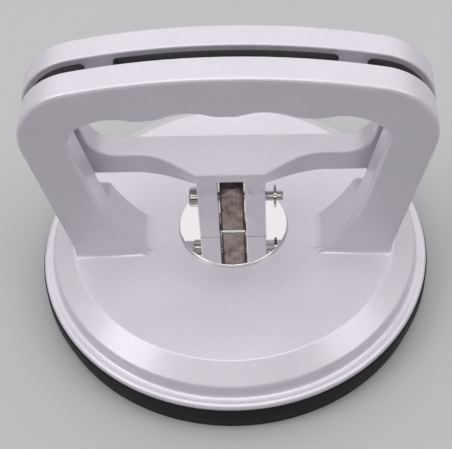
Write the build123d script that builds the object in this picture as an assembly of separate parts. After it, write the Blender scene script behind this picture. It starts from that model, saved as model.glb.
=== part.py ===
from build123d import *
import math
import os

# Hand suction lifter for glass: a cast disc with a fixed handle, a ring lever whose cam foot
# pulls a square stud, and a rubber pad that the stud lifts off the glass.
# Sizes in mm. X runs across the handle, Y from the fixed handle to the lever, Z up.
# The origin is on the glass under the middle of the pad, and the lever stands locked.

# Rubber pad
PAD_EDGE_HEIGHT = 10.0  # glass to the seat of the rim
PAD_OVERHANG = 0.4  # pad edge beyond the rim
PAD_TOP_ROUND = 0.8
PAD_BAND_HEIGHT = 4.8  # upright band at the top of the pad's edge
PAD_BAND_STEP = 0.5  # from the band in to the lip below it
PAD_LIP_TAPER = 0.8  # how far the lip leans in towards the glass
PAD_LIP_CHAMFER = 0.5
SEALING_LAND_WIDTH = 7.0
CHAMBER_HEIGHT = 6.0  # glass to the middle of the locked pad
CHAMBER_FLOOR_RADIUS = 33.0
PAD_SKIN = 2.8  # rubber under the backing plate
PAD_RIM_SHELF = 9.0  # flat top of the pad under and inside the rim

# Disc of the body casting, with heights above the seat of the rim
RIM_RADIUS = 59.0
FLANGE_WIDTH = 3.5
FLANGE_THICKNESS = 1.9
RIM_BEAD_WIDTH = 1.5  # lower round bead along the flange's edge
RIM_BEAD_STEP = 0.35
SKIRT_HEIGHT = 5.8
SHOULDER_RUN = 6.4  # how far in the shoulder slopes
PLATEAU_HEIGHT = 10.6
CROWN_RISE = 0.6  # from the plateau's edge to the washer's land
LAND_MARGIN = 1.2  # land beyond the washer
CASTING_WALL = 3.0
BOSS_RADIUS = 10.0
BOSS_DEPTH = 2.3
RIM_ROUND = 1.1
SHOULDER_ROUND = 1.6
PLATEAU_ROUND = 0.5
FLANGE_FILLET = 1.4

# Fixed handle and grip
HAND_OPENING = 28.6  # from the lever's bar up to the middle of the grip's underside
HANDLE_CROWN_RADIUS = 198.0
HANDLE_CORNER_RADIUS = 19.0
HANDLE_FRONT = -10.7  # Y of the front face
HANDLE_DEPTH = 8.9
LEG_LEAN = 12.7  # degrees outward from upright
LEG_WIDTH = 14.0
FOOT_SETBACK = 0.9  # from the plateau's edge to the foot's outer corner
FOOT_DEPTH = 14.9
FOOT_STEP_GAP = 5.0  # from the feet's step up to the lever's bar
FOOT_LAP = 2.0  # how far the deep feet reach into the arch
FLARE_HEIGHT = 25.9  # above the plateau, where the inner side starts to flare
FLARE_RADIUS = 53.0
GRIP_HEIGHT = 14.8
GRIP_UNDERSIDE_RADIUS = 220.0
OPENING_CORNER_RADIUS = 8.0
FINGER_COUNT = 4
FINGER_END_MARGIN = 4.96  # from the row of hollows to the leg
FINGER_DEPTH = 1.8
KNUCKLE_WIDTH = 5.95  # grip left between two hollows
KNUCKLE_RADIUS = 8.0
END_FINGER_ROUND = 5.0
EDGE_ROUND = 1.3
INNER_EDGE_ROUND = 0.6  # edges beside the gap between the two grips
BASE_FILLET = 1.0
COVE_RADIUS = 2.2  # hollow along the front of the feet
COVE_MARGIN = 0.8  # from the cove to the plateau's edge
BLEND_RADIUS = 7.0  # inner side of the feet into the plateau
BLEND_BITE = 0.1  # depth of the blends' edges in the casting

# Lightening pockets in the facing sides of the two grips
POCKET_WALL = 2.0
POCKET_FLOOR = 2.2
POCKET_CORNER = 1.5
RIB_INSET = 25.86  # from the handle's side, level with the grip's underside, to the rib
RIB_WIDTH = 7.8
POCKET_DROP = 17.9  # lowest line of the pockets below the grip's underside

# Lever
LEVER_GAP = 4.3
LEVER_DEPTH = 8.4
BAR_HEIGHT = 7.3
LEVER_CORNER_RADIUS = 9.0
SHELF_FRONT = -5.5  # Y of the fork's front face
SHELF_FRONT_THICKNESS = 3.6
SHELF_SLOPE = 34.0  # degrees, plan angle of the shelf's slanting sides
SHELF_BLEND_RADIUS = 19.0
FORK_LEG_WIDTH = 5.95
SLOT_CLEARANCE = 0.5  # each side of the stud
SLOT_HEADROOM = 6.4  # above the stud
SLOT_ROOF = 3.0
SLOT_BACK_WALL = 4.6
SLOT_BACK_RISE = 4.8  # open back of the slot above the pin
FORK_EDGE_ROUND = 0.4
EJECTOR_MARK_RADIUS = 2.1
EJECTOR_MARK_DEPTH = 0.4
EJECTOR_MARK_RISE = 8.9  # above the pin

# Cam foot of the lever
LIFT = 4.0
RELEASE_ANGLE = 80.0
PIN_HEIGHT = 12.4  # pin above the washer with the lever locked
CAM_CLEARANCE = 0.1
CAM_HEEL_MARGIN = 1.5  # depth of the fork behind the cam
CAM_STEPS = 5

# Washer, stud, plate, pin, clip and spring
WASHER_RADIUS = 16.3
WASHER_THICKNESS = 1.0
WASHER_ROUND = 0.25
TANG_WIDTH = 7.0
TANG_CLEARANCE = 0.2
TANG_TOP = 6.3  # above the pin
TANG_CORNER_CUT = 0.35
TANG_POINT_STEP = 0.8
TANG_POINT_HEIGHT = 1.5
TANG_COLLAR_STEP = 0.4  # bevelled collar at the foot of the tang
TANG_COLLAR_RISE = 0.3  # collar above the washer with the lever locked
STUD_FLANGE_RADIUS = 9.0
STUD_FLANGE_THICKNESS = 1.5
SPIGOT_RADIUS = 4.5
PLATE_RADIUS = 30.0
PLATE_THICKNESS = 2.5
PLATE_CHAMFER = 0.5
PLATE_CLEARANCE = 0.3
PIN_RADIUS = 1.5
PIN_CLEARANCE = 0.05
PIN_HEAD_OVERHANG = 1.4
PIN_HEAD_LENGTH = 2.4
PIN_END_FLOAT = 0.3
PIN_TAIL = 5.2  # beyond the fork
PIN_CHAMFER = 0.4
CLIP_GAP = 2.4  # fork to clip
CLIP_REACH = 1.8  # beyond the pin
CLIP_THICKNESS = 0.8
CLIP_BAND = 0.9
CLIP_MOUTH_EASE = 0.2
CLIP_LUG_WIDTH = 1.5
GROOVE_DEPTH = 0.35
GROOVE_CLEARANCE = 0.05
SPRING_WIRE_RADIUS = 0.8
SPRING_BOTTOM_RADIUS = 18.0
SPRING_TURNS = 2.5
SPRING_END_CLEARANCE = 0.1
SPRING_BOSS_CLEARANCE = 1.0
SPRING_STEPS_PER_TURN = 4
SPRING_NUDGE = 1e-4  # turns either side of a point, to find the wire's direction
SPRING_CHECK_STEPS = 80  # points per turn in the check of its gaps

# Places that follow from the sizes
SEAT = PAD_EDGE_HEIGHT
PAD_RADIUS = RIM_RADIUS + PAD_OVERHANG
SKIRT_RADIUS = RIM_RADIUS - FLANGE_WIDTH
PLATEAU_RADIUS = SKIRT_RADIUS - SHOULDER_RUN
CAVITY_RADIUS = SKIRT_RADIUS - CASTING_WALL
LAND_RADIUS = WASHER_RADIUS + LAND_MARGIN
PLATEAU = SEAT + PLATEAU_HEIGHT
LAND = PLATEAU + CROWN_RISE
CEILING = PLATEAU - CASTING_WALL
BOSS_FACE = CEILING - BOSS_DEPTH
WASHER_TOP = LAND + WASHER_THICKNESS
PIN_Z = WASHER_TOP + PIN_HEIGHT
PLATE_SEAT = CHAMBER_HEIGHT + PAD_SKIN
PLATE_TOP = PLATE_SEAT + PLATE_THICKNESS
COLLAR_WIDTH = TANG_WIDTH + 2 * TANG_COLLAR_STEP
HOLE_WIDTH = COLLAR_WIDTH + 2 * TANG_CLEARANCE
STUD_TOP = PIN_Z + TANG_TOP
SLOT_WIDTH = TANG_WIDTH + 2 * SLOT_CLEARANCE
SLOT_ROOF_Z = STUD_TOP + SLOT_HEADROOM
FORK_WIDTH = SLOT_WIDTH + 2 * FORK_LEG_WIDTH
BAR_TOP_Z = SLOT_ROOF_Z + SLOT_ROOF
BAR_BOTTOM_Z = BAR_TOP_Z - BAR_HEIGHT
SHELF_UNDER = BAR_TOP_Z - SHELF_FRONT_THICKNESS
GRIP_UNDERSIDE = BAR_TOP_Z + HAND_OPENING
HANDLE_TOP = GRIP_UNDERSIDE + GRIP_HEIGHT
HANDLE_BACK = HANDLE_FRONT + HANDLE_DEPTH
FOOT_BACK = HANDLE_FRONT + FOOT_DEPTH
FOOT_HALF_WIDTH = math.sqrt((PLATEAU_RADIUS - FOOT_SETBACK) ** 2 - HANDLE_FRONT**2)
LEVER_FRONT = HANDLE_BACK + LEVER_GAP
LEVER_BACK = LEVER_FRONT + LEVER_DEPTH
ROOT_HEIGHT = CEILING  # legs run down into the disc to here
FLARE_START = PLATEAU + FLARE_HEIGHT
LIFT_PER_RADIAN = LIFT / math.radians(RELEASE_ANGLE)
CAM_REACH = PIN_HEIGHT - CAM_CLEARANCE
GROOVE_RADIUS = PIN_RADIUS - GROOVE_DEPTH
CLIP_RADIUS = PIN_RADIUS + CLIP_REACH
CLIP_X = FORK_WIDTH / 2 + CLIP_GAP
TOUCH = 0.01  # places nearer than this are the same


def nearest_corner(outline, x, y):
    """The corner of a flat outline that lies nearest to a point."""
    return outline.vertices().sort_by_distance((x, y, 0))[0]


def revolved(profile):
    """A solid turned about Z from a profile drawn as radius and height."""
    return revolve(Plane.YZ * profile, Axis.Z)


def slab(outline, front, back):
    """A solid between two Y planes from an outline drawn as X and Z."""
    return extrude(Pos(0, front, 0) * Rot(90, 0, 0) * outline, amount=back - front, dir=(0, 1, 0))


def edges_between(edges, axis, low, high):
    """Those of some edges whose middles lie between two places along an axis."""
    return edges.filter_by_position(axis, low, high)


def edges_at(solid, axis, place):
    """Edges of a solid whose middles lie at one place along an axis."""
    return edges_between(solid.edges(), axis, place - TOUCH, place + TOUCH)


def edges_above_land(solid, y):
    """Edges of a solid at one Y plane, above the disc's land."""
    return edges_between(edges_at(solid, Axis.Y, y), Axis.Z, LAND, HANDLE_TOP)


def square_bar(width, low, high):
    """An upright square bar on the Z axis."""
    return Pos(0, 0, low) * extrude(Rectangle(width, width), amount=high - low)


def leg_reach(z, inset=0.0):
    """Half-width of the handle at a height, in from the leaning outer side."""
    return FOOT_HALF_WIDTH + (z - PLATEAU) * math.tan(math.radians(LEG_LEAN)) - inset


def between_legs(low, high, inset=0.0):
    """The region between the handle's two leaning sides."""
    wide_low = leg_reach(low, inset)
    wide_high = leg_reach(high, inset)
    corners = [(-wide_low, low), (wide_low, low), (wide_high, high), (-wide_high, high)]
    return make_face(Polyline(*corners, close=True))


def handle_outline(low):
    """Outer outline of a grip: a crowned top, round shoulders and leaning sides."""
    crown = Pos(0, HANDLE_TOP - HANDLE_CROWN_RADIUS) * Circle(HANDLE_CROWN_RADIUS)
    outline = between_legs(low, HANDLE_TOP) & crown
    shoulders = outline.vertices().sort_by(Axis.Y)[-2:]
    return fillet(shoulders, HANDLE_CORNER_RADIUS)


def plain_opening(low):
    """The hand opening under a grip, before its finger hollows."""
    ceiling = Pos(0, GRIP_UNDERSIDE - GRIP_UNDERSIDE_RADIUS) * Circle(GRIP_UNDERSIDE_RADIUS)
    opening = between_legs(low, HANDLE_TOP, LEG_WIDTH) & ceiling
    corners = opening.vertices().sort_by(Axis.Y)[-2:]
    return fillet(corners, OPENING_CORNER_RADIUS)


def underside_z(x):
    """Height of the grip's plain underside across the handle."""
    drop = GRIP_UNDERSIDE_RADIUS - math.sqrt(GRIP_UNDERSIDE_RADIUS**2 - x**2)
    return GRIP_UNDERSIDE - drop


def finger_opening(low):
    """The hand opening with a row of finger hollows in the grip's underside."""
    opening = plain_opening(low)
    sides = between_legs(low, HANDLE_TOP, LEG_WIDTH)
    row = leg_reach(GRIP_UNDERSIDE, LEG_WIDTH) - FINGER_END_MARGIN
    pitch = 2 * row / FINGER_COUNT
    end_x = row - pitch / 2
    half_chord = (pitch - KNUCKLE_WIDTH) / 2
    radius = (half_chord**2 + FINGER_DEPTH**2) / (2 * FINGER_DEPTH)
    for finger in range(FINGER_COUNT):
        x = finger * pitch - end_x
        z = underside_z(x) + FINGER_DEPTH - radius
        opening += Pos(x, z) * Circle(radius) & sides
    lowest_knuckle = underside_z(end_x) - FINGER_DEPTH
    knuckles = opening.vertices().filter_by(
        lambda corner: abs(corner.X) < end_x and corner.Y > lowest_knuckle
    )
    opening = fillet(knuckles, KNUCKLE_RADIUS)
    ends = opening.vertices().filter_by(lambda corner: abs(corner.X) > end_x).sort_by(Axis.Y)[-2:]
    return fillet(ends, END_FINGER_ROUND)


def pocket_outline():
    """Lightening pockets round a grip, stopped by two upright ribs."""
    floor = GRIP_UNDERSIDE - POCKET_DROP
    band = offset(handle_outline(ROOT_HEIGHT), -POCKET_WALL)
    band -= offset(plain_opening(ROOT_HEIGHT), POCKET_WALL + FINGER_DEPTH)
    band -= Pos(0, floor - HANDLE_TOP) * Rectangle(4 * HANDLE_TOP, 2 * HANDLE_TOP)
    rib = Rectangle(RIB_WIDTH, HANDLE_TOP)
    rib_x = leg_reach(GRIP_UNDERSIDE, RIB_INSET)
    band -= Pos(-rib_x, HANDLE_TOP) * rib + Pos(rib_x, HANDLE_TOP) * rib
    return offset(offset(band, -POCKET_CORNER), POCKET_CORNER)


def disc():
    """The hollow disc: flange, upright skirt, sloping shoulder and crowned plateau."""
    shoulder_rise = PLATEAU_HEIGHT - SKIRT_HEIGHT
    slope = shoulder_rise / SHOULDER_RUN
    slant = math.hypot(1, slope)
    inner_skirt = SKIRT_HEIGHT + CASTING_WALL * (slope - slant)
    inner_plateau = SKIRT_RADIUS - (CEILING - SEAT - SKIRT_HEIGHT + CASTING_WALL * slant) / slope
    plateau_edge = (PLATEAU_RADIUS, PLATEAU)
    shoulder_edge = (SKIRT_RADIUS, SEAT + SKIRT_HEIGHT)
    flange_corner = (SKIRT_RADIUS, SEAT + FLANGE_THICKNESS)
    bead_top = SEAT + FLANGE_THICKNESS - RIM_BEAD_STEP
    step_edge = (RIM_RADIUS - RIM_BEAD_WIDTH, SEAT + FLANGE_THICKNESS)
    rim_edge = (RIM_RADIUS, bead_top)
    crown_end = (LAND_RADIUS, LAND)
    crown = SagittaArc(plateau_edge, crown_end, -CROWN_RISE / 3)
    outside = Polyline(
        plateau_edge,
        shoulder_edge,
        flange_corner,
        step_edge,
        (RIM_RADIUS - RIM_BEAD_WIDTH, bead_top),
        rim_edge,
        (RIM_RADIUS, SEAT),
        (CAVITY_RADIUS, SEAT),
        (CAVITY_RADIUS, SEAT + inner_skirt),
        (inner_plateau, CEILING),
        (BOSS_RADIUS, CEILING),
        (BOSS_RADIUS, BOSS_FACE),
        (0, BOSS_FACE),
        (0, LAND),
        crown_end,
    )
    profile = make_face(outside + crown)
    for place, radius in (
        (plateau_edge, PLATEAU_ROUND),
        (shoulder_edge, SHOULDER_ROUND),
        (flange_corner, FLANGE_FILLET),
        (rim_edge, RIM_ROUND),
    ):
        profile = fillet(nearest_corner(profile, *place), radius)
    return revolved(profile)


def flare_centre():
    """Middle of the arc that flares the right foot, as X and Z."""
    lean = math.radians(LEG_LEAN)
    x = leg_reach(FLARE_START, LEG_WIDTH) - FLARE_RADIUS * math.cos(lean)
    return x, FLARE_START + FLARE_RADIUS * math.sin(lean)


def leg_waist():
    """The narrow space between the feet, bounded by their two flares."""
    x, z = flare_centre()
    flare = Circle(FLARE_RADIUS)
    return Pos(x, z) * flare & Pos(-x, z) * flare


def fixed_handle():
    """The arch that stands on the disc, with deeper feet below the lever's bar."""
    waist = between_legs(ROOT_HEIGHT, FLARE_START, LEG_WIDTH) & leg_waist()
    opening = finger_opening(FLARE_START) + waist
    outline = handle_outline(ROOT_HEIGHT) - opening
    step_z = BAR_BOTTOM_Z - FOOT_STEP_GAP
    feet = outline & Pos(0, step_z - HANDLE_TOP) * Rectangle(4 * HANDLE_TOP, 2 * HANDLE_TOP)
    arch = slab(outline, HANDLE_FRONT, HANDLE_BACK)
    arch = fillet(edges_above_land(arch, HANDLE_FRONT), EDGE_ROUND)
    arch = fillet(edges_above_land(arch, HANDLE_BACK), INNER_EDGE_ROUND)
    deep_feet = slab(feet, HANDLE_BACK - FOOT_LAP, FOOT_BACK)
    for kind in (GeomType.LINE, GeomType.CIRCLE):
        deep_feet = fillet(edges_above_land(deep_feet, FOOT_BACK).filter_by(kind), EDGE_ROUND)
    arch += deep_feet
    return arch - slab(pocket_outline(), HANDLE_FRONT + POCKET_FLOOR, HANDLE_BACK)


def front_coves():
    """Hollow mouldings where the front of the feet meets the plateau."""
    floor = PLATEAU - BLEND_BITE
    front = HANDLE_FRONT + BLEND_BITE
    reach = front - COVE_RADIUS
    section = make_face(
        Polyline((reach, floor), (reach, ROOT_HEIGHT), (front, ROOT_HEIGHT), (front, floor + COVE_RADIUS))
        + RadiusArc((front, floor + COVE_RADIUS), (reach, floor), COVE_RADIUS)
    )
    strip = extrude(Plane.YZ * section, amount=FOOT_HALF_WIDTH, both=True)
    within = Cylinder(PLATEAU_RADIUS - COVE_MARGIN, 2 * HANDLE_TOP)
    feet = between_legs(ROOT_HEIGHT, FLARE_START) - leg_waist()
    return strip & slab(feet, reach, front) & within


def inner_blends():
    """Soft hollows that carry the inner sides of the feet over into the plateau."""
    floor = LAND - BLEND_BITE
    flare_x, flare_z = flare_centre()
    middle_z = floor + BLEND_RADIUS
    apart = FLARE_RADIUS + BLEND_BITE - BLEND_RADIUS
    middle_x = flare_x + math.sqrt(apart**2 - (flare_z - middle_z) ** 2)
    hollow = Pos(middle_x, middle_z) * Circle(BLEND_RADIUS)
    share = (apart + BLEND_RADIUS) / apart
    high = (flare_x + (middle_x - flare_x) * share, flare_z + (middle_z - flare_z) * share)
    wedge = make_face(
        Polyline((middle_x, floor), (middle_x, ROOT_HEIGHT), (high[0], ROOT_HEIGHT), high, close=True)
    )
    wedge -= hollow
    front = HANDLE_FRONT + EDGE_ROUND
    back = FOOT_BACK - EDGE_ROUND
    return slab(wedge, front, back) + slab(mirror(wedge, Plane.YZ), front, back)


def body_casting():
    """Disc and fixed handle in one casting, with a square hole for the stud."""
    casting = disc() + fixed_handle()
    foot_edges = edges_between(casting.edges(), Axis.Z, PLATEAU - TOUCH, LAND + CROWN_RISE).filter_by(
        lambda edge: abs(edge.center().X) > LAND_RADIUS
    )
    casting = fillet(foot_edges, BASE_FILLET)
    casting += inner_blends()
    casting += front_coves()
    return casting - square_bar(HOLE_WIDTH, BOSS_FACE, LAND)


def cam_point(turn):
    """Where the cam foot meets the washer at a turn of the lever, from the pin."""
    reach = CAM_REACH - LIFT_PER_RADIAN * turn
    y = reach * math.sin(turn) - LIFT_PER_RADIAN * math.cos(turn)
    z = -reach * math.cos(turn) - LIFT_PER_RADIAN * math.sin(turn)
    return y, PIN_Z + z


def fork_back():
    """Y of the fork's flat back, behind the cam's heel."""
    heel_y = cam_point(math.radians(RELEASE_ANGLE))[0]
    return heel_y + CAM_HEEL_MARGIN


def fork_profile():
    """Side outline of the fork: flat foot, cam that lowers the pin evenly, and a flat back."""
    release = math.radians(RELEASE_ANGLE)
    turns = [release * step / (CAM_STEPS - 1) for step in range(CAM_STEPS)]
    points = [cam_point(turn) for turn in turns]
    cam = Spline(*points, tangents=[(1, 0), (math.cos(release), math.sin(release))])
    toe = (SHELF_FRONT, PIN_Z - CAM_REACH)
    heel_y, heel_z = points[-1]
    back_y = fork_back()
    back_z = heel_z + (back_y - heel_y) * math.tan(release)
    rest = Polyline(
        points[-1],
        (back_y, back_z),
        (back_y, SHELF_UNDER),
        (SHELF_FRONT, SHELF_UNDER),
        toe,
        points[0],
    )
    return make_face(cam + rest)


def shelf():
    """The shelf from the bar to the fork, spreading to the bar in two blended slants."""
    half = FORK_WIDTH / 2
    spread = (LEVER_FRONT - SHELF_FRONT) / math.tan(math.radians(SHELF_SLOPE))
    blend = half + spread
    wing = blend + SHELF_BLEND_RADIUS / 2
    back = LEVER_BACK - EDGE_ROUND
    plan = make_face(
        Polyline(
            (-half, SHELF_FRONT),
            (half, SHELF_FRONT),
            (blend, LEVER_FRONT),
            (wing, LEVER_FRONT),
            (wing, back),
            (-wing, back),
            (-wing, LEVER_FRONT),
            (-blend, LEVER_FRONT),
            close=True,
        )
    )
    for side in (-1, 1):
        plan = fillet(nearest_corner(plan, side * blend, LEVER_FRONT), SHELF_BLEND_RADIUS)
    block = Pos(0, 0, BAR_BOTTOM_Z) * extrude(plan, amount=BAR_HEIGHT)
    under = make_face(
        Polyline(
            (SHELF_FRONT, BAR_BOTTOM_Z),
            (LEVER_FRONT, BAR_BOTTOM_Z),
            (SHELF_FRONT, SHELF_UNDER),
            close=True,
        )
    )
    return block - extrude(Plane.YZ * under, amount=wing, both=True)


def fork():
    """The block for two legs astride the stud, on a cam foot that bears on the washer."""
    block = extrude(Plane.YZ * fork_profile(), amount=FORK_WIDTH / 2, both=True)
    return fillet(edges_at(block, Axis.Y, SHELF_FRONT).filter_by(Axis.Z), FORK_EDGE_ROUND)


def fork_slot():
    """The slot for the stud: roofed in front, and open behind only below the pin's top."""
    low = PIN_Z - PIN_HEIGHT
    high = SLOT_ROOF_Z
    back = fork_back()
    wall = back - SLOT_BACK_WALL
    tall = make_face(
        Polyline((SHELF_FRONT, low), (wall, low), (wall, high), (SHELF_FRONT, high), close=True)
    )
    through_top = PIN_Z + SLOT_BACK_RISE
    through = make_face(
        Polyline(
            (SHELF_FRONT, low),
            (back, low),
            (back, through_top),
            (SHELF_FRONT, through_top),
            close=True,
        )
    )
    return extrude(Plane.YZ * (tall + through), amount=SLOT_WIDTH / 2, both=True)


def cross_rod(radius, x_low, x_high):
    """A round rod on the pin's axis."""
    return Pos(x_low, 0, PIN_Z) * extrude(Plane.YZ * Circle(radius), amount=x_high - x_low)


def ejector_marks():
    """Shallow round marks on the front of the fork's legs."""
    middle = (FORK_WIDTH + SLOT_WIDTH) / 4
    mark = Rot(90, 0, 0) * Cylinder(EJECTOR_MARK_RADIUS, 2 * EJECTOR_MARK_DEPTH)
    height = PIN_Z + EJECTOR_MARK_RISE
    return Pos(middle, SHELF_FRONT, height) * mark + Pos(-middle, SHELF_FRONT, height) * mark


def lever_ring():
    """The closed ring of the lever, rounded at the back."""
    outline = handle_outline(BAR_BOTTOM_Z)
    outline = fillet(outline.vertices().sort_by(Axis.Y)[:2], LEVER_CORNER_RADIUS)
    opening = finger_opening(BAR_TOP_Z)
    opening = fillet(opening.vertices().sort_by(Axis.Y)[:2], LEVER_CORNER_RADIUS)
    ring = slab(outline - opening, LEVER_FRONT, LEVER_BACK)
    return fillet(edges_at(ring, Axis.Y, LEVER_BACK), EDGE_ROUND)


def release_relief():
    """What the bar's back leaves free in line with the cam's end, to clear the washer at release."""
    release = math.radians(RELEASE_ANGLE)
    heel_y, heel_z = cam_point(release)
    low = BAR_BOTTOM_Z - EDGE_ROUND
    low_y = heel_y + (low - heel_z) / math.tan(release)
    behind = max(LEVER_BACK, low_y) + EDGE_ROUND
    high = low + (behind - low_y) * math.tan(release)
    wedge = make_face(Polyline((low_y, low), (behind, low), (behind, high), close=True))
    return extrude(Plane.YZ * wedge, amount=leg_reach(HANDLE_TOP), both=True)


def lever_casting():
    """The ring lever with its lower bar, shelf and forked cam foot."""
    casting = lever_ring() + shelf() + fork()
    ring_edges = edges_at(casting, Axis.Y, LEVER_FRONT).filter_by(Axis.Z, reverse=True)
    shelf_edges = edges_at(casting, Axis.Z, BAR_TOP_Z)
    front_edges = edges_between(ring_edges, Axis.Z, BAR_BOTTOM_Z + EDGE_ROUND, HANDLE_TOP)
    front_edges += edges_between(shelf_edges, Axis.Y, SHELF_FRONT - TOUCH, LEVER_FRONT - TOUCH)
    casting = fillet(front_edges, INNER_EDGE_ROUND)
    casting -= slab(pocket_outline(), LEVER_FRONT, LEVER_BACK - POCKET_FLOOR)
    casting -= release_relief()
    casting -= fork_slot()
    mouth_edges = edges_at(casting, Axis.Y, SHELF_FRONT).filter_by(Axis.Z)
    mouth_edges = edges_between(mouth_edges, Axis.X, -SLOT_WIDTH, SLOT_WIDTH)
    casting = fillet(mouth_edges, FORK_EDGE_ROUND)
    half = FORK_WIDTH / 2
    return casting - ejector_marks() - cross_rod(PIN_RADIUS + PIN_CLEARANCE, -half, half)


def wear_washer():
    """The polished washer that the cam foot slides on."""
    plate = Pos(0, 0, LAND) * extrude(Circle(WASHER_RADIUS), amount=WASHER_THICKNESS)
    rims = plate.edges().filter_by(GeomType.CIRCLE).sort_by(Axis.Z)[-1:]
    return fillet(rims, WASHER_ROUND) - square_bar(HOLE_WIDTH, LAND, WASHER_TOP)


def draw_stud():
    """Square stud with a turned point, a cross hole, and a flange riveted through the plate."""
    turned_radius = TANG_WIDTH / math.sqrt(2) - TANG_CORNER_CUT
    point_radius = TANG_WIDTH / 2 - TANG_POINT_STEP
    turned = make_face(
        Polyline(
            (0, PLATE_TOP),
            (turned_radius, PLATE_TOP),
            (turned_radius, STUD_TOP - TANG_POINT_HEIGHT),
            (point_radius, STUD_TOP),
            (0, STUD_TOP),
            close=True,
        )
    )
    tang = square_bar(TANG_WIDTH, PLATE_TOP, STUD_TOP) & revolved(turned)
    collar = square_bar(COLLAR_WIDTH, PLATE_TOP, WASHER_TOP + TANG_COLLAR_RISE + TANG_COLLAR_STEP)
    collar = chamfer(collar.faces().sort_by(Axis.Z)[-1].edges(), TANG_COLLAR_STEP)
    flange = Pos(0, 0, PLATE_TOP) * extrude(Circle(STUD_FLANGE_RADIUS), amount=STUD_FLANGE_THICKNESS)
    spigot = Pos(0, 0, PLATE_SEAT) * extrude(Circle(SPIGOT_RADIUS), amount=PLATE_THICKNESS)
    bore = cross_rod(PIN_RADIUS + PIN_CLEARANCE, -TANG_WIDTH, TANG_WIDTH)
    return tang + collar + flange + spigot - bore


def backing_plate():
    """Steel disc in the pad's top that spreads the stud's pull."""
    plate = Pos(0, 0, PLATE_SEAT) * extrude(Circle(PLATE_RADIUS), amount=PLATE_THICKNESS)
    plate = chamfer(plate.edges().filter_by(GeomType.CIRCLE), PLATE_CHAMFER)
    hole = extrude(Circle(SPIGOT_RADIUS + PIN_CLEARANCE), amount=PLATE_THICKNESS)
    return plate - Pos(0, 0, PLATE_SEAT) * hole


def rubber_pad():
    """Suction pad: a sealing land round a shallow chamber, drawn up round the plate."""
    lip_top = PAD_EDGE_HEIGHT - PAD_BAND_HEIGHT
    lip_radius = PAD_RADIUS - PAD_BAND_STEP
    foot_radius = lip_radius - PAD_LIP_TAPER
    land_radius = foot_radius - SEALING_LAND_WIDTH
    recess_radius = PLATE_RADIUS + PLATE_CLEARANCE
    bead_radius = recess_radius + PAD_SKIN
    shelf_radius = RIM_RADIUS - PAD_RIM_SHELF
    lip = (foot_radius, 0)
    top_edge = (PAD_RADIUS, PAD_EDGE_HEIGHT)
    chamber = Bezier(
        (land_radius, 0),
        ((2 * land_radius + CHAMBER_FLOOR_RADIUS) / 3, CHAMBER_HEIGHT / 3),
        ((land_radius + 2 * CHAMBER_FLOOR_RADIUS) / 3, CHAMBER_HEIGHT),
        (CHAMBER_FLOOR_RADIUS, CHAMBER_HEIGHT),
    )
    outside = Polyline(
        (CHAMBER_FLOOR_RADIUS, CHAMBER_HEIGHT),
        (0, CHAMBER_HEIGHT),
        (0, PLATE_SEAT),
        (recess_radius, PLATE_SEAT),
        (recess_radius, PLATE_TOP),
        (bead_radius, PLATE_TOP),
        (shelf_radius, PAD_EDGE_HEIGHT),
        top_edge,
        (PAD_RADIUS, lip_top),
        (lip_radius, lip_top - PAD_BAND_STEP),
        lip,
        (land_radius, 0),
    )
    profile = make_face(chamber + outside)
    profile = fillet(nearest_corner(profile, *top_edge), PAD_TOP_ROUND)
    profile = chamfer(nearest_corner(profile, *lip), PAD_LIP_CHAMFER)
    return revolved(profile)


def hinge_pin():
    """Headed pin through the fork and the stud, grooved for its clip."""
    head_face = -FORK_WIDTH / 2 - PIN_END_FLOAT
    tail = FORK_WIDTH / 2 + PIN_TAIL
    head = cross_rod(PIN_RADIUS + PIN_HEAD_OVERHANG, head_face - PIN_HEAD_LENGTH, head_face)
    head = chamfer(head.faces().sort_by(Axis.X)[0].edges(), PIN_CHAMFER)
    shank = cross_rod(PIN_RADIUS, head_face, tail)
    shank = chamfer(shank.faces().sort_by(Axis.X)[-1].edges(), PIN_CHAMFER)
    groove_end = CLIP_X + CLIP_THICKNESS + 2 * GROOVE_CLEARANCE
    groove = cross_rod(PIN_RADIUS, CLIP_X, groove_end) - cross_rod(GROOVE_RADIUS, CLIP_X, groove_end)
    return head + shank - groove


def retaining_clip():
    """E-shaped clip: a sprung band with three lugs that reach into the pin's groove."""
    band = Circle(CLIP_RADIUS) - Circle(CLIP_RADIUS - CLIP_BAND)
    lug_reach = CLIP_RADIUS - CLIP_BAND / 2
    lug = Pos(lug_reach / 2, 0) * Rectangle(lug_reach, CLIP_LUG_WIDTH)
    for turn in (0, 90, 180):
        band += Rot(0, 0, turn) * lug
    grip_radius = GROOVE_RADIUS + GROOVE_CLEARANCE
    band -= Circle(grip_radius)
    band -= Pos(0, -CLIP_RADIUS) * Rectangle(2 * grip_radius + CLIP_MOUTH_EASE, 2 * CLIP_RADIUS)
    place = Pos(CLIP_X + GROOVE_CLEARANCE, 0, PIN_Z)
    return place * extrude(Plane.YZ * band, amount=CLIP_THICKNESS)


def biarc(start, start_way, end, end_way):
    """Two arcs that leave one point and reach another along given directions."""
    chord = end - start
    ways = start_way + end_way
    spread = 2 * (1 - start_way.dot(end_way))
    along = chord.dot(ways)
    step = (math.sqrt(along**2 + spread * chord.dot(chord)) - along) / spread
    joint = (start + end + (start_way - end_way) * step) * 0.5
    first = TangentArc(start, joint, tangent=start_way)
    second = TangentArc(joint, end, tangent=first % 1)
    return [first, second]


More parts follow.
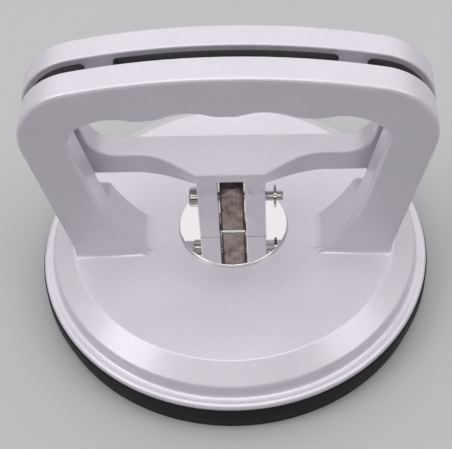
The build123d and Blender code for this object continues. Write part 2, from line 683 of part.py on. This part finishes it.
def spring_point(turn):
    """A point on the wire's middle line: flat at both ends, and climbing in between."""
    low = PLATE_TOP + SPRING_WIRE_RADIUS + SPRING_END_CLEARANCE
    high = CEILING - SPRING_WIRE_RADIUS - SPRING_END_CLEARANCE
    top_radius = BOSS_RADIUS + SPRING_BOSS_CLEARANCE + SPRING_WIRE_RADIUS
    part = turn / SPRING_TURNS
    climb = part * part * (3 - 2 * part)
    radius = SPRING_BOTTOM_RADIUS + (top_radius - SPRING_BOTTOM_RADIUS) * part
    angle = 2 * math.pi * turn
    return Vector(radius * math.cos(angle), radius * math.sin(angle), low + (high - low) * climb)


def spring_way(turn):
    """The direction of the wire at a turn."""
    return (spring_point(turn + SPRING_NUDGE) - spring_point(turn - SPRING_NUDGE)).normalized()


def return_spring():
    """Conical coil between the casting and the backing plate, in one unbroken wire."""
    count = round(SPRING_TURNS * SPRING_STEPS_PER_TURN)
    turns = [step / SPRING_STEPS_PER_TURN for step in range(count + 1)]
    points = [spring_point(turn) for turn in turns]
    ways = [spring_way(turn) for turn in turns]
    arcs = []
    for step in range(count):
        arcs += biarc(points[step], ways[step], points[step + 1], ways[step + 1])
    path = Wire(arcs)
    section = Plane(origin=points[0], z_dir=ways[0]) * Circle(SPRING_WIRE_RADIUS)
    fine_count = round(SPRING_TURNS * SPRING_CHECK_STEPS)
    fine = [spring_point(step / SPRING_CHECK_STEPS) for step in range(fine_count + 1)]
    half_turn = SPRING_CHECK_STEPS // 2
    nearest = min(
        (low - high).length for index, low in enumerate(fine) for high in fine[index + half_turn :]
    )
    print("least gap between the spring's turns", round(nearest - 2 * SPRING_WIRE_RADIUS, 2))
    return sweep(section, path=path)


NODES = {
    "body_casting": body_casting,
    "lever_casting": lever_casting,
    "wear_washer": wear_washer,
    "draw_stud": draw_stud,
    "backing_plate": backing_plate,
    "rubber_pad": rubber_pad,
    "hinge_pin": hinge_pin,
    "retaining_clip": retaining_clip,
    "return_spring": return_spring,
}

os.makedirs("parts", exist_ok=True)
for name, make in NODES.items():
    export_step(make(), f"parts/{name}.step")
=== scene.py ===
import math

import bpy
from mathutils import Matrix, Vector


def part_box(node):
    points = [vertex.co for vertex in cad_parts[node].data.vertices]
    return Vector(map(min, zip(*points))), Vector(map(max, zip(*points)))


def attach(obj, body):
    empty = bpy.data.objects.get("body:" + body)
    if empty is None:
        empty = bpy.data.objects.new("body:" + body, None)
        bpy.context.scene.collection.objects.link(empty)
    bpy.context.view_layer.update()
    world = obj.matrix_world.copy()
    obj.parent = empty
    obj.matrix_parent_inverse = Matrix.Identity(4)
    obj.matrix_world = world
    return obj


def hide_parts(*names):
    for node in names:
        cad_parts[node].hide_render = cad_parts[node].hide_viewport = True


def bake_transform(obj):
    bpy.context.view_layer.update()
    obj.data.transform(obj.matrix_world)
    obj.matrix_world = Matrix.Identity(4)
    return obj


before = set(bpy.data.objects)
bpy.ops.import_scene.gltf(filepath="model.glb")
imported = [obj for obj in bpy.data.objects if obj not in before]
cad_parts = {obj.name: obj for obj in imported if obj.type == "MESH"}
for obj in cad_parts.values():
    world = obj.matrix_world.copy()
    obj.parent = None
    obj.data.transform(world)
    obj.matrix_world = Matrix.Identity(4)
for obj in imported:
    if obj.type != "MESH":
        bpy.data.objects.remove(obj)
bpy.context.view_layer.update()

MM = 0.001

# Places read from the frame, in metres
PAD_LOW, PAD_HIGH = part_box("rubber_pad")
PLATE_LOW, PLATE_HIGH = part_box("backing_plate")
WASHER_LOW, WASHER_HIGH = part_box("wear_washer")
PAD_RADIUS = (PAD_HIGH.x - PAD_LOW.x) / 2
PAD_TOP = PAD_HIGH.z
PLATE_RADIUS = (PLATE_HIGH.x - PLATE_LOW.x) / 2
PLATE_SEAT = PLATE_LOW.z
WASHER_RADIUS = (WASHER_HIGH.x - WASHER_LOW.x) / 2
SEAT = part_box("body_casting")[0].z  # underside of the disc's flange
GRIP_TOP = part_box("lever_casting")[1].z

# Outline of the two grips and their legs
GRIP_CROWN = 198.0 * MM  # radius of the top
GRIP_CORNER = 19.0 * MM
GRIP_HEIGHT = 14.8 * MM  # top to underside, in the middle
UNDERSIDE_CROWN = 220.0 * MM
UNDERSIDE_CORNER = 8.0 * MM
LEG_LEAN = math.radians(12.7)
LEG_FOOT_X = 47.0 * MM  # a point on the right leg's outer side
LEG_FOOT_Z = 20.6 * MM
LEG_WIDTH = 14.0 * MM

# Pockets in the facing sides of the grips, darkened as painted shade; a fade is from where the shade
# starts to where it is deepest
GAP_MIDDLE = 0.35 * MM  # Y halfway between the grips
GAP_HALF = 2.15 * MM
POCKET_FLOOR = 9.0 * MM  # from the gap's middle
POCKET_LOW = 61.0 * MM  # lowest line of the pockets
POCKET_EDGE = 0.5 * MM  # short fade below that line and past the floor
RIM_FADE = (0.8 * MM, 1.6 * MM)  # in from the grip's outline
LEDGE_FADE = (2.0 * MM, 3.2 * MM)  # out from the hand opening
MOUTH_FADE = (GAP_HALF + 0.4 * MM, GAP_HALF + 2.8 * MM)  # from the gap's middle into a pocket

# Painted contact shadow as a dark line on the casting round the washer, and a painted highlight on the
# stud's collar
SHADOW_LINE_WIDTH = 0.5 * MM
SHADOW_LINE_TOP = (WASHER_LOW.z + 0.1 * MM, WASHER_LOW.z + 0.2 * MM)  # heights between which the line ends
HIGHLIGHT_TOP = (WASHER_HIGH.z + 0.70 * MM, WASHER_HIGH.z + 0.76 * MM)  # and those for the collar

# Ejector marks on the front of the lever's fork, and the burr round each
MARK_X = 6.975 * MM
MARK_Y = -5.5 * MM
MARK_Z = 43.5 * MM
MARK_RADIUS = 2.1 * MM
BURR_WIDTH = 0.5 * MM
BURR_HEIGHT = 26.0  # against 1 for the lacquer's peel
BURR_BACK = (MARK_Y + 0.1 * MM, MARK_Y + 0.3 * MM)  # Y between which the burr ends

# Rubber pad
PAD_TOP_ROUND = 0.8 * MM
BAND_HEIGHT = 4.8 * MM  # upright band at the top of the edge
BAND_STEP = 0.5 * MM  # from the band in to the lip
LIP_TAPER = 0.8 * MM  # how far the lip leans in towards the glass
LIP_WIDTH = 0.9 * MM  # outermost ring that touches the glass
LAND_WIDTH = 7.0 * MM
LAND_RECESS = 0.4 * MM  # land between the sealing ridges, above the glass
RIDGE_COUNT = 4
RIDGE_RADIUS = 0.55 * MM
RIDGE_MARGIN = 1.3 * MM  # last ridges to the lip and to the chamber
SHELF_WIDTH = 11.0 * MM  # flat top of the edge, under the flange
CHAMBER_RADIUS = 33.0 * MM
CHAMBER_HEIGHT = 6.0 * MM
SKIN = 2.8 * MM
PLATE_CLEARANCE = 0.3 * MM
MEMBRANE_EDGE = 1.6 * MM  # thickness where the membrane meets the edge
SOFT_ROUND = 0.35 * MM  # small corners of the moulding
FOOT_RADIUS = PAD_RADIUS - BAND_STEP - LIP_TAPER
LAND_RADIUS = FOOT_RADIUS - LAND_WIDTH

# How finely the pad's pieces are divided
TURN_STEPS = 192
ARC_STEPS = 6
DISH_STEPS = 24
RIDGE_SIDES = 12
SMOOTH_ANGLE = math.radians(40)

# Colours of the finishes, the darker of a pair first
SILVER = ((0.68, 0.648, 0.704, 1), (0.85, 0.808, 0.878, 1))
# painted shade, for the grips' pockets and the line round the washer
PAINTED_SHADE = (0.34, 0.335, 0.34, 1)
MIRROR_STEEL = (0.90, 0.875, 0.89, 1)
STAINED_STEEL = ((0.14, 0.108, 0.094, 1), (0.41, 0.35, 0.318, 1))
# painted highlight on the stud's collar
PAINTED_HIGHLIGHT = (0.93, 0.88, 0.82, 1)
NICKEL = ((0.36, 0.343, 0.322, 1), (0.51, 0.493, 0.468, 1))
ZINC = ((0.50, 0.50, 0.49, 1), (0.68, 0.69, 0.70, 1))
RUBBER = ((0.008, 0.008, 0.009, 1), (0.018, 0.018, 0.020, 1))
GROUND = ((0.06, 0.06, 0.06, 1), (0.52, 0.517, 0.523, 1))  # to scattered light, and where it is seen

# Camera, at the photo's viewing angle
CAMERA_ELEVATION = math.radians(50.54)
CAMERA_YAW = math.radians(3.21)
CAMERA_ROLL = math.radians(-3.31)
CAMERA_DISTANCE = 0.4202
CAMERA_TARGET = Vector((-0.00225, 0.0, 0.02149))
CAMERA_LENS = 109.82
CAMERA_NEAREST = 0.01
SENSOR_WIDTH = 36.0

# Light: a dome that is brightest high up behind the object, and soft boxes; at level 1 white is white
DOME_TINT = (1.0, 0.985, 1.0, 1)
DOME_WAY = Vector((0.0, 0.5, 0.87)).normalized()
DOME_SPAN = (0.05, 0.82)  # cosines from the brightest way between which the dome brightens
DOME_LEVELS = (0.11, 0.94)
BACKDROP_LEVEL = 0.48
BACKDROP_SPAN = (0.15, 0.28)  # heights between which the backdrop goes over into the dome
BOX_DISTANCE = 8.0  # far, so that the floor is lit evenly
BOXES = (  # name, way, width as a share of the distance, level
    ("left_box", (-0.66, -0.26, 0.70), 0.45, 2.9),
    ("right_box", (0.71, -0.20, 0.67), 0.45, 1.9),
    ("top_box", (0.0, -0.20, 0.98), 0.575, 1.5),
    ("front_box", (-0.04, -0.77, 0.64), 0.13, 5.0),
)
FLOOR_SIZE = 12.0  # from the middle to each side


class Value:
    """An output of a node. Each operator on it adds one Math node."""

    def __init__(self, graph, socket):
        self.graph = graph
        self.socket = socket

    def math(self, operation, other=0.0, flipped=False):
        first, second = (other, self) if flipped else (self, other)
        return self.graph.node("ShaderNodeMath", {"operation": operation}, {0: first, 1: second})

    def __add__(self, other):
        return self.math("ADD", other)

    __radd__ = __add__

    def __sub__(self, other):
        return self.math("SUBTRACT", other)

    def __rsub__(self, other):
        return self.math("SUBTRACT", other, flipped=True)

    def __mul__(self, other):
        return self.math("MULTIPLY", other)

    __rmul__ = __mul__

    def __abs__(self):
        return self.math("ABSOLUTE")

    def at_least(self, other):
        return self.math("MAXIMUM", other)

    def hypot(self, other):
        """Length of the line that goes this far one way and the other value square to it."""
        return (self * self + other * other).math("SQRT")

    def rising(self, low, high, first=0.0, last=1.0):
        """A value that eases from first to last while this one goes from low to high."""
        ends = {"Value": self, "From Min": low, "From Max": high, "To Min": first, "To Max": last}
        return self.graph.node("ShaderNodeMapRange", {"interpolation_type": "SMOOTHSTEP"}, ends)


class Graph:
    """A node tree of a finish, of the surroundings or of a shape."""

    def __init__(self, tree):
        self.tree = tree

    def node(self, kind, settings=None, inputs=None, output=0):
        """Adds a node with its settings and then its sockets, and returns one of its outputs."""
        node = self.tree.nodes.new(kind)
        for key, value in (settings or {}).items():
            setattr(node, key, value)
        for key, value in (inputs or {}).items():
            self.fill(node.inputs[key], value)
        return Value(self, node.outputs[output]) if node.outputs else None

    def fill(self, socket, value):
        """Links a socket to a value, or sets it."""
        if isinstance(value, Value):
            self.tree.links.new(value.socket, socket)
        else:
            socket.default_value = value


class Finish(Graph):
    """A procedural material: one Principled shader, with the nodes that feed it."""

    def __init__(self, name, **constants):
        self.material = bpy.data.materials.new(name)
        self.material.use_nodes = True
        super().__init__(self.material.node_tree)
        self.shader = self.tree.nodes["Principled BSDF"]
        self.feed(**constants)
        self.place = self.node("ShaderNodeTexCoord", output="Object")

    def feed(self, **sockets):
        """Sets or links sockets of the shader, named with underscores."""
        for name, value in sockets.items():
            self.fill(self.shader.inputs[name.replace("_", " ")], value)

    def axes(self):
        """X, Y and Z of the place."""
        parts = self.node("ShaderNodeSeparateXYZ", None, {0: self.place})
        return [Value(self, socket) for socket in parts.socket.node.outputs]

    def noise(self, size, detail=2.0, place=None):
        """Noise with features of about the given size."""
        inputs = {"Vector": place or self.place, "Scale": 1 / size, "Detail": detail}
        return self.node("ShaderNodeTexNoise", None, inputs)

    def streaks(self, x, y, z, detail=2.0):
        """Noise with features of a different size along each axis."""
        scale = {"Vector": self.place, "Scale": (1 / x, 1 / y, 1 / z)}
        return self.noise(1.0, detail, self.node("ShaderNodeMapping", None, scale))

    def tint(self, share, first, second):
        """A colour part of the way from one to another."""
        sockets = {0: share, 6: first, 7: second}  # a Mix node's colours are sockets 6 and 7
        return self.node("ShaderNodeMix", {"data_type": "RGBA"}, sockets, output=2)

    def bump(self, height, depth, strength):
        """A normal bent by a height, where 1 stands for the given depth."""
        inputs = {"Height": height, "Distance": depth, "Strength": strength}
        return self.node("ShaderNodeBump", None, inputs, output="Normal")


def beyond_outline(x, z, top, crown, foot_x, corner):
    """How far a place lies outside an outline with a crowned top, leaning sides and round corners."""
    over_top = x.hypot(z - (top - crown)) - (crown - corner)
    side = foot_x * math.cos(LEG_LEAN) - LEG_FOOT_Z * math.sin(LEG_LEAN) - corner
    over_side = abs(x) * math.cos(LEG_LEAN) - z * math.sin(LEG_LEAN) - side
    return over_top.at_least(0.0).hypot(over_side.at_least(0.0)) - corner


def pocket_shade_share(x, y, z):
    """Where a place lies in the pockets between the grips, darkened there as painted shade."""
    underside = GRIP_TOP - GRIP_HEIGHT
    inner_foot = LEG_FOOT_X - LEG_WIDTH
    grip = beyond_outline(x, z, GRIP_TOP, GRIP_CROWN, LEG_FOOT_X, GRIP_CORNER)
    opening = beyond_outline(x, z, underside, UNDERSIDE_CROWN, inner_foot, UNDERSIDE_CORNER)
    depth = abs(y - GAP_MIDDLE)
    walls = (-1.0 * grip).rising(*RIM_FADE) * opening.rising(*LEDGE_FADE)
    floors = 1 - depth.rising(POCKET_FLOOR, POCKET_FLOOR + POCKET_EDGE)
    return walls * depth.rising(*MOUTH_FADE) * floors * z.rising(POCKET_LOW - POCKET_EDGE, POCKET_LOW)


def washer_shadow_line(x, y, z):
    """A thin dark line on the casting round the washer, painted as the shadow where it sits."""
    out = x.hypot(y) - WASHER_RADIUS
    return (1 - z.rising(*SHADOW_LINE_TOP)) * (1 - out.rising(0.0, SHADOW_LINE_WIDTH))


def mark_burr(x, y, z):
    """The burr round the two ejector marks on the fork's front, from 0 to 1 at its ridge."""
    across = abs(x) - MARK_X
    from_ridge = abs(across.hypot(z - MARK_Z) - (MARK_RADIUS + BURR_WIDTH / 2))
    return (1 - y.rising(*BURR_BACK)) * (1 - from_ridge.rising(0.0, BURR_WIDTH / 2))


def silver_spray():
    """Satin silver lacquer with fine aluminium flake, over a slightly uneven casting, with painted
    shade in the grips' pockets and round the washer.
    """
    finish = Finish("silver_spray", Metallic=0.42, Coat_Weight=0.8, Coat_Roughness=0.15)
    x, y, z = finish.axes()
    flake_size = 0.35 * MM
    cells = {"Vector": finish.place, "Scale": 1 / flake_size}
    flake = {"Color": finish.node("ShaderNodeTexVoronoi", None, cells, output="Color")}
    bright = finish.node("ShaderNodeSeparateColor", None, flake, output="Red")
    glint = finish.node("ShaderNodeSeparateColor", None, flake, output="Green")
    cloud = finish.noise(14 * MM)
    peel = finish.noise(0.9 * MM, detail=3.0)
    pocket = pocket_shade_share(x, y, z)
    silver = finish.tint(0.30 * bright + 0.5 * cloud + 0.1, *SILVER)
    # painted shade in the pockets and a painted shadow line round the washer
    painted_shade = 0.95 * pocket + 0.8 * washer_shadow_line(x, y, z)
    height = peel + 0.35 * bright + BURR_HEIGHT * mark_burr(x, y, z)
    finish.feed(Base_Color=finish.tint(painted_shade, silver, PAINTED_SHADE))
    finish.feed(Roughness=0.38 + 0.08 * glint + 0.05 * cloud + 0.2 * pocket)
    finish.feed(Normal=finish.bump(height, depth=0.02 * MM, strength=0.35))
    return finish.material


def polished_washer():
    """Mirror-polished steel with faint lapping and wiping marks."""
    finish = Finish("polished_washer", Metallic=1.0, Base_Color=MIRROR_STEEL)
    wiped = finish.noise(3 * MM, detail=4.0)
    lapped = finish.streaks(4 * MM, 0.4 * MM, 0.4 * MM)
    finish.feed(Roughness=0.02 + 0.05 * wiped * lapped)
    finish.feed(Normal=finish.bump(lapped, depth=0.001 * MM, strength=0.2))
    return finish.material


def drawn_steel():
    """The stud's bare steel: stained grey-brown, drawn along its length, its collar painted bright as a
    highlight.
    """
    finish = Finish("drawn_steel", Metallic=1.0)
    drawn = finish.streaks(0.55 * MM, 0.55 * MM, 11 * MM, detail=3.0)
    stain = finish.noise(2.6 * MM, detail=5.0)
    speck = finish.noise(0.5 * MM, detail=3.0)
    share = (0.5 * stain + 0.2 * drawn + 0.3 * speck).rising(0.30, 0.70)
    steel = finish.tint(share, *STAINED_STEEL)
    z = finish.axes()[2]
    # the collar is painted bright as a highlight
    collar_highlight = 1 - z.rising(*HIGHLIGHT_TOP)
    finish.feed(Base_Color=finish.tint(collar_highlight, steel, PAINTED_HIGHLIGHT))
    finish.feed(Roughness=0.22 + 0.14 * drawn + 0.14 * stain)
    finish.feed(Normal=finish.bump(drawn + speck, depth=0.015 * MM, strength=0.5))
    return finish.material


def bright_plate():
    """Nickel-plated steel, turned across the pin's axis."""
    finish = Finish("bright_plate", Metallic=1.0)
    turning = finish.streaks(0.24 * MM, 3.8 * MM, 3.8 * MM)
    cloud = finish.noise(2 * MM)
    finish.feed(Base_Color=finish.tint(cloud, *NICKEL))
    finish.feed(Roughness=0.10 + 0.10 * turning + 0.05 * cloud)
    finish.feed(Normal=finish.bump(turning, depth=0.004 * MM, strength=0.3))
    return finish.material


def zinc_steel():
    """Zinc-plated steel of the hidden plate and spring."""
    finish = Finish("zinc_steel", Metallic=1.0)
    spangle = finish.noise(2.5 * MM, detail=3.0)
    finish.feed(Base_Color=finish.tint(spangle, *ZINC))
    finish.feed(Roughness=0.28 + 0.15 * spangle)
    finish.feed(Normal=finish.bump(spangle, depth=0.01 * MM, strength=0.3))
    return finish.material


def black_rubber():
    """Moulded black rubber with a satin skin, faint bloom and fine mould grain."""
    finish = Finish("black_rubber", Specular_IOR_Level=0.18)
    bloom = finish.noise(9 * MM, detail=4.0)
    grain = finish.noise(0.35 * MM)
    finish.feed(Base_Color=finish.tint(bloom, *RUBBER))
    finish.feed(Roughness=0.40 + 0.18 * bloom + 0.06 * grain)
    finish.feed(Normal=finish.bump(grain, depth=0.02 * MM, strength=0.3))
    return finish.material


def pale_floor():
    """Plain matt ground: pale where it is seen, also in reflections, and throwing little light up."""
    finish = Finish("pale_floor", Roughness=0.9, Specular_IOR_Level=0.1)
    kinds = ("Is Camera Ray", "Is Glossy Ray", "Is Transmission Ray")
    seen = sum(finish.node("ShaderNodeLightPath", output=kind) for kind in kinds)
    finish.feed(Base_Color=finish.tint(seen, *GROUND))
    return finish.material


def placed(name, data):
    """An object in the scene that shows some data."""
    thing = bpy.data.objects.new(name, data)
    bpy.context.scene.collection.objects.link(thing)
    return thing


def rounded_outline(corners):
    """A closed outline from (radius, height, round) corners, with an arc at each rounded one."""
    points = []
    for index, (radius, height, size) in enumerate(corners):
        here = Vector((radius, height))
        if size == 0:
            points.append(here)
            continue
        before = (Vector(corners[index - 1][:2]) - here).normalized()
        after = (Vector(corners[(index + 1) % len(corners)][:2]) - here).normalized()
        half = before.angle(after) / 2
        centre = here + (before + after).normalized() * size / math.sin(half)
        first = here + before * size / math.tan(half) - centre
        second = here + after * size / math.tan(half) - centre
        sweep = first.angle_signed(second)
        for step in range(ARC_STEPS + 1):
            points.append(centre + Matrix.Rotation(-sweep * step / ARC_STEPS, 2) @ first)
    return points


def turned(name, outline, material):
    """A closed mesh turned about Z from a closed outline of radii and heights, listed anticlockwise."""
    vertices = []
    rings = []
    for radius, height in outline:
        count = TURN_STEPS if radius > 0 else 1
        ring = []
        for step in range(count):
            angle = 2 * math.pi * step / count
            ring.append(len(vertices))
            vertices.append((radius * math.cos(angle), radius * math.sin(angle), height))
        rings.append(ring)
    faces = []
    for index, ring in enumerate(rings):
        other = rings[(index + 1) % len(rings)]
        if len(ring) == len(other) == 1:
            continue
        for step in range(TURN_STEPS):
            around = (step + 1) % TURN_STEPS
            corners = [ring[step % len(ring)], ring[around % len(ring)]]
            corners += [other[around % len(other)], other[step % len(other)]]
            faces.append(list(dict.fromkeys(corners)))
    mesh = bpy.data.meshes.new(name)
    mesh.from_pydata(vertices, [], faces)
    mesh.validate()
    mesh.polygons.foreach_set("use_smooth", [True] * len(mesh.polygons))
    mesh.set_sharp_from_angle(angle=SMOOTH_ANGLE)
    mesh.materials.append(material)
    return placed(name, mesh)


def pad_edge(material):
    """The pad's thick edge: an upright band under the flange, and a lip that leans in to the glass."""
    lip_inner = FOOT_RADIUS - LIP_WIDTH
    lip_top = SEAT - BAND_HEIGHT
    shelf = PAD_RADIUS - SHELF_WIDTH
    corners = [
        (LAND_RADIUS, LAND_RECESS, 0),
        (lip_inner, LAND_RECESS, 0),
        (lip_inner, 0, 0),
        (FOOT_RADIUS, 0, SOFT_ROUND),
        (PAD_RADIUS - BAND_STEP, lip_top - BAND_STEP, SOFT_ROUND),
        (PAD_RADIUS, lip_top, SOFT_ROUND),
        (PAD_RADIUS, SEAT, PAD_TOP_ROUND),
        (shelf, SEAT, SOFT_ROUND),
        (shelf, SEAT - SKIN, SOFT_ROUND),
        (LAND_RADIUS, MEMBRANE_EDGE, 0),
    ]
    return turned("pad_edge", rounded_outline(corners), material)


def eased(share):
    """A share from 0 to 1 that starts and ends gently."""
    return share * share * (3 - 2 * share)


def membrane(material):
    """The middle of the pad: a dish that the stud draws up, with the backing plate in its top."""
    plate_wall = PLATE_RADIUS + PLATE_CLEARANCE
    bead = plate_wall + SKIN
    under = []
    over = []
    for step in range(DISH_STEPS + 1):
        share = step / DISH_STEPS
        under_radius = CHAMBER_RADIUS + (LAND_RADIUS - CHAMBER_RADIUS) * share
        under.append((under_radius, CHAMBER_HEIGHT + (LAND_RECESS - CHAMBER_HEIGHT) * eased(share)))
        over_radius = LAND_RADIUS + (bead - LAND_RADIUS) * share
        over.append((over_radius, MEMBRANE_EDGE + (PAD_TOP - MEMBRANE_EDGE) * eased(share)))
    middle = [(plate_wall, PAD_TOP), (plate_wall, PLATE_SEAT), (0, PLATE_SEAT), (0, CHAMBER_HEIGHT)]
    return turned("pad_membrane", under + over + middle, material)


def ridge_tree():
    """Concentric round ridges: one circle for each step of a row, swept by a round section."""
    tree = bpy.data.node_groups.new("sealing_ridges", "GeometryNodeTree")
    tree.interface.new_socket("Geometry", in_out="OUTPUT", socket_type="NodeSocketGeometry")
    inputs = {
        "First Radius": "NodeSocketFloat",
        "Pitch": "NodeSocketFloat",
        "Count": "NodeSocketInt",
        "Ridge Radius": "NodeSocketFloat",
        "Ridge Sides": "NodeSocketInt",
        "Steps": "NodeSocketInt",
        "Material": "NodeSocketMaterial",
    }
    for name, kind in inputs.items():
        tree.interface.new_socket(name, in_out="INPUT", socket_type=kind)
    graph = Graph(tree)

    def given(name):
        return graph.node("NodeGroupInput", output=name)

    def circle(radius, sides):
        sizes = {"Radius": radius, "Resolution": sides}
        return graph.node("GeometryNodeCurvePrimitiveCircle", None, sizes, "Curve")

    reach = given("First Radius") + given("Pitch") * graph.node("GeometryNodeInputIndex")
    height = graph.node("ShaderNodeCombineXYZ", None, {"Z": given("Ridge Radius")})
    row = {"Count": given("Count"), "Start Location": height, "Offset": (0, 0, 0)}
    spots = graph.node("GeometryNodeMeshLine", {"mode": "OFFSET"}, row)
    copies = {"Points": spots, "Instance": circle(1.0, given("Steps")), "Scale": reach}
    rings = graph.node("GeometryNodeInstanceOnPoints", None, copies)
    paths = graph.node("GeometryNodeRealizeInstances", None, {"Geometry": rings})
    section = circle(given("Ridge Radius"), given("Ridge Sides"))
    swept = graph.node("GeometryNodeCurveToMesh", None, {"Curve": paths, "Profile Curve": section})
    smooth = graph.node("GeometryNodeSetShadeSmooth", None, {"Geometry": swept})
    coat = {"Geometry": smooth, "Material": given("Material")}
    finished = graph.node("GeometryNodeSetMaterial", None, coat)
    graph.node("NodeGroupOutput", None, {"Geometry": finished})
    return tree


def grown(name, tree, **sizes):
    """A plain mesh object made by a node tree with the given inputs."""
    source = placed(name, bpy.data.meshes.new(name))
    modifier = source.modifiers.new("grow", "NODES")
    modifier.node_group = tree
    for item in tree.interface.items_tree:
        if item.in_out == "INPUT":
            modifier[item.identifier] = sizes[item.name.lower().replace(" ", "_")]
    bpy.context.view_layer.update()
    evaluated = source.evaluated_get(bpy.context.evaluated_depsgraph_get())
    mesh = bpy.data.meshes.new_from_object(evaluated)
    source.modifiers.clear()
    source.data = mesh
    return source


def sealing_ridges(material):
    """Fine ridges that press on the glass."""
    first = LAND_RADIUS + RIDGE_MARGIN
    last = FOOT_RADIUS - LIP_WIDTH - RIDGE_MARGIN
    return grown(
        "sealing_ridges",
        ridge_tree(),
        first_radius=first,
        pitch=(last - first) / (RIDGE_COUNT - 1),
        count=RIDGE_COUNT,
        ridge_radius=RIDGE_RADIUS,
        ridge_sides=RIDGE_SIDES,
        steps=TURN_STEPS,
        material=material,
    )


def paint_frame():
    """Gives each carried-over CAD node its finish."""
    silver = silver_spray()
    plate = bright_plate()
    hidden = zinc_steel()
    finishes = {
        "body_casting": silver,
        "lever_casting": silver,
        "wear_washer": polished_washer(),
        "draw_stud": drawn_steel(),
        "hinge_pin": plate,
        "retaining_clip": plate,
        "backing_plate": hidden,
        "return_spring": hidden,
    }
    for node, finish in finishes.items():
        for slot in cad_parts[node].material_slots:
            slot.material = finish


def make_pad():
    """The rubber pad in three pieces: its edge, the ridges under it and the membrane in its middle."""
    rubber = black_rubber()
    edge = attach(pad_edge(rubber), "body")
    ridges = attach(sealing_ridges(rubber), "body")
    middle = membrane(rubber)
    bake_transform(middle)
    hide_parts("rubber_pad")


def floor():
    """A wide pale floor under the pad."""
    mesh = bpy.data.meshes.new("floor")
    corners = [(-FLOOR_SIZE, -FLOOR_SIZE, 0), (FLOOR_SIZE, -FLOOR_SIZE, 0)]
    corners += [(FLOOR_SIZE, FLOOR_SIZE, 0), (-FLOOR_SIZE, FLOOR_SIZE, 0)]
    mesh.from_pydata(corners, [], [(0, 1, 2, 3)])
    mesh.materials.append(pale_floor())
    placed("floor", mesh)


def dome():
    """A soft dome, brightest high up behind the object, over a plain pale backdrop."""
    world = bpy.data.worlds.new("dome")
    world.use_nodes = True
    graph = Graph(world.node_tree)
    way = graph.node("ShaderNodeTexCoord", output="Generated")
    facing = {0: way, 1: DOME_WAY}
    towards = graph.node("ShaderNodeVectorMath", {"operation": "DOT_PRODUCT"}, facing, "Value")
    height = graph.node("ShaderNodeSeparateXYZ", None, {"Vector": way}, "Z")
    level = towards.rising(*DOME_SPAN, *DOME_LEVELS)
    above = height.rising(*BACKDROP_SPAN)
    background = world.node_tree.nodes["Background"].inputs
    graph.fill(background["Color"], DOME_TINT)
    graph.fill(background["Strength"], BACKDROP_LEVEL + (level - BACKDROP_LEVEL) * above)
    bpy.context.scene.world = world


def softbox(name, way, width, level):
    """A square lamp that faces the object, as bright as the given level."""
    light = bpy.data.lights.new(name, "AREA")
    light.size = width * BOX_DISTANCE
    light.energy = level * math.pi * light.size ** 2
    lamp = placed(name, light)
    way = Vector(way).normalized()
    lamp.location = CAMERA_TARGET + way * BOX_DISTANCE
    lamp.rotation_euler = way.to_track_quat("Z", "Y").to_euler()


def photo_camera():
    """A camera at the photo's angle: yaw, elevation and roll about the target."""
    level = Vector((math.cos(CAMERA_YAW), math.sin(CAMERA_YAW), 0))
    ahead = Vector((-math.sin(CAMERA_YAW), math.cos(CAMERA_YAW), 0))
    back = Vector((0, 0, math.sin(CAMERA_ELEVATION))) - ahead * math.cos(CAMERA_ELEVATION)
    upright = back.cross(level)
    right = level * math.cos(CAMERA_ROLL) + upright * math.sin(CAMERA_ROLL)
    up = upright * math.cos(CAMERA_ROLL) - level * math.sin(CAMERA_ROLL)
    data = bpy.data.cameras.new("photo_camera")
    data.sensor_fit = "HORIZONTAL"
    data.sensor_width = SENSOR_WIDTH
    data.lens = CAMERA_LENS
    data.clip_start = CAMERA_NEAREST
    camera = placed("photo_camera", data)
    turn = Matrix((right, up, back)).transposed().to_4x4()
    camera.matrix_world = Matrix.Translation(CAMERA_TARGET + back * CAMERA_DISTANCE) @ turn
    bpy.context.scene.camera = camera


bpy.context.scene.view_settings.view_transform = "Standard"
paint_frame()
make_pad()
floor()
dome()
for box in BOXES:
    softbox(*box)
photo_camera()
